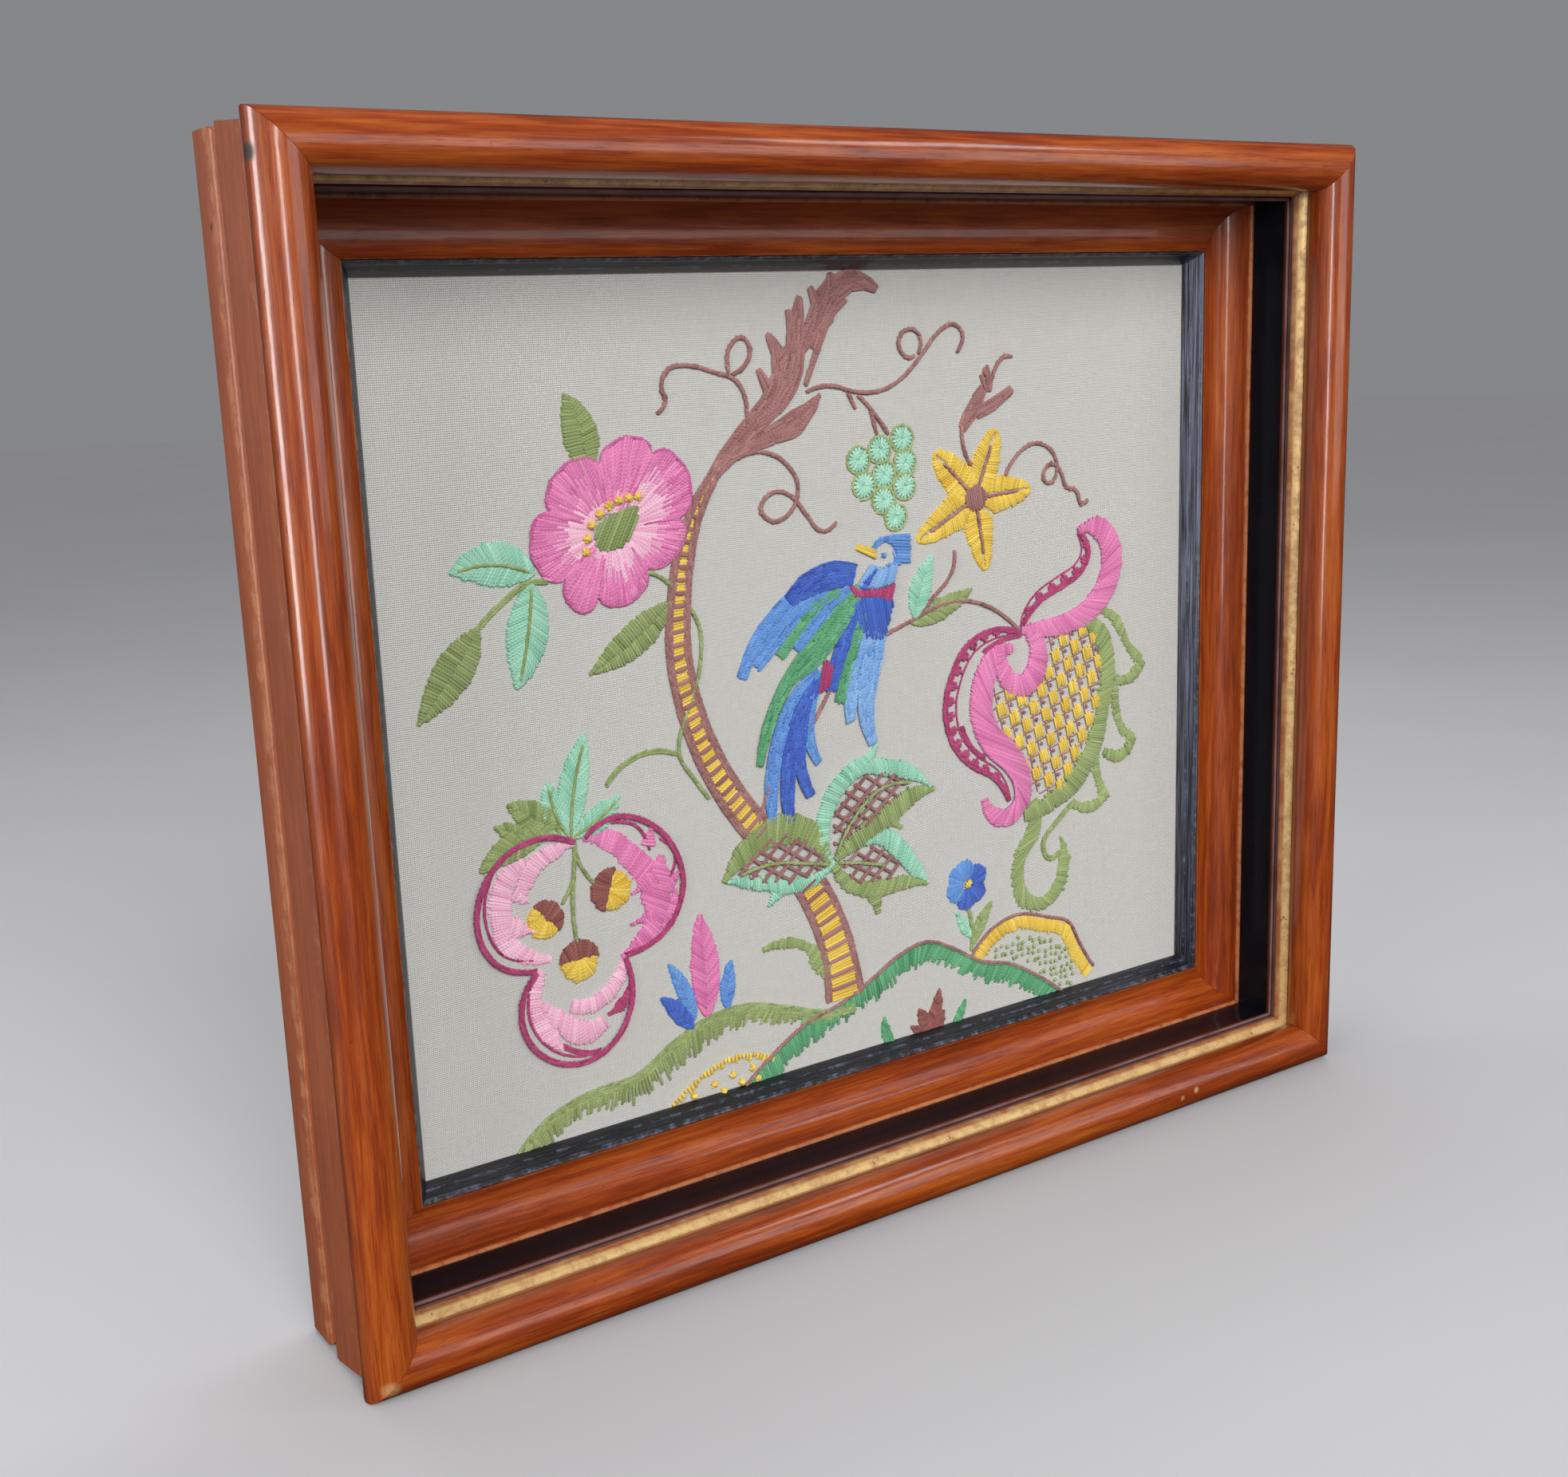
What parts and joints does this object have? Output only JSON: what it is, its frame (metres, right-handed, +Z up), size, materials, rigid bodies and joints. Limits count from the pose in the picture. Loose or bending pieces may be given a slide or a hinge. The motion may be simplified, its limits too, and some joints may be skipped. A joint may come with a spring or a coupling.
{
  "type": "framed crewel embroidery panel with its picture frame",
  "caption": "Crewel wool embroidery on stretched linen, set in a deep mitred wooden picture frame with gilt, black and ebonised inner strips.",
  "frame": {"origin": "middle of the footprint, on the surface the frame stands on, half way through its depth", "axes": "+X along the width, +Y from the face towards the back, +Z up"},
  "size_m": [0.4, 0.056, 0.347],
  "materials": {
    "mahogany": "glossy french polish over streaky red-brown grain, worn at the arrises",
    "gilt": "old gilding, rubbed, with brown specks",
    "satin_black": "satin black paint",
    "ebonised": "ebonised, with pale streaky wear along the grain",
    "linen": "natural grey-white linen in plain weave with slubs, worked in crewel wool",
    "board": "plain brown backing board",
    "wool": "matt two-ply crewel wool in many colours"
  },
  "bodies": {
    "root": {"rail_bottom": "mahogany", "rail_top": "mahogany", "rail_left": "mahogany", "rail_right": "mahogany", "gilt_bottom": "gilt", "gilt_top": "gilt", "gilt_left": "gilt", "gilt_right": "gilt", "liner_bottom": "satin_black", "liner_top": "satin_black", "liner_left": "satin_black", "liner_right": "satin_black", "cove_bottom": "mahogany", "cove_top": "mahogany", "cove_left": "mahogany", "cove_right": "mahogany", "slip_bottom": "ebonised", "slip_top": "ebonised", "slip_left": "ebonised", "slip_right": "ebonised", "linen_cloth": "linen", "backing_board": "board"}
  },
  "joints": []
}
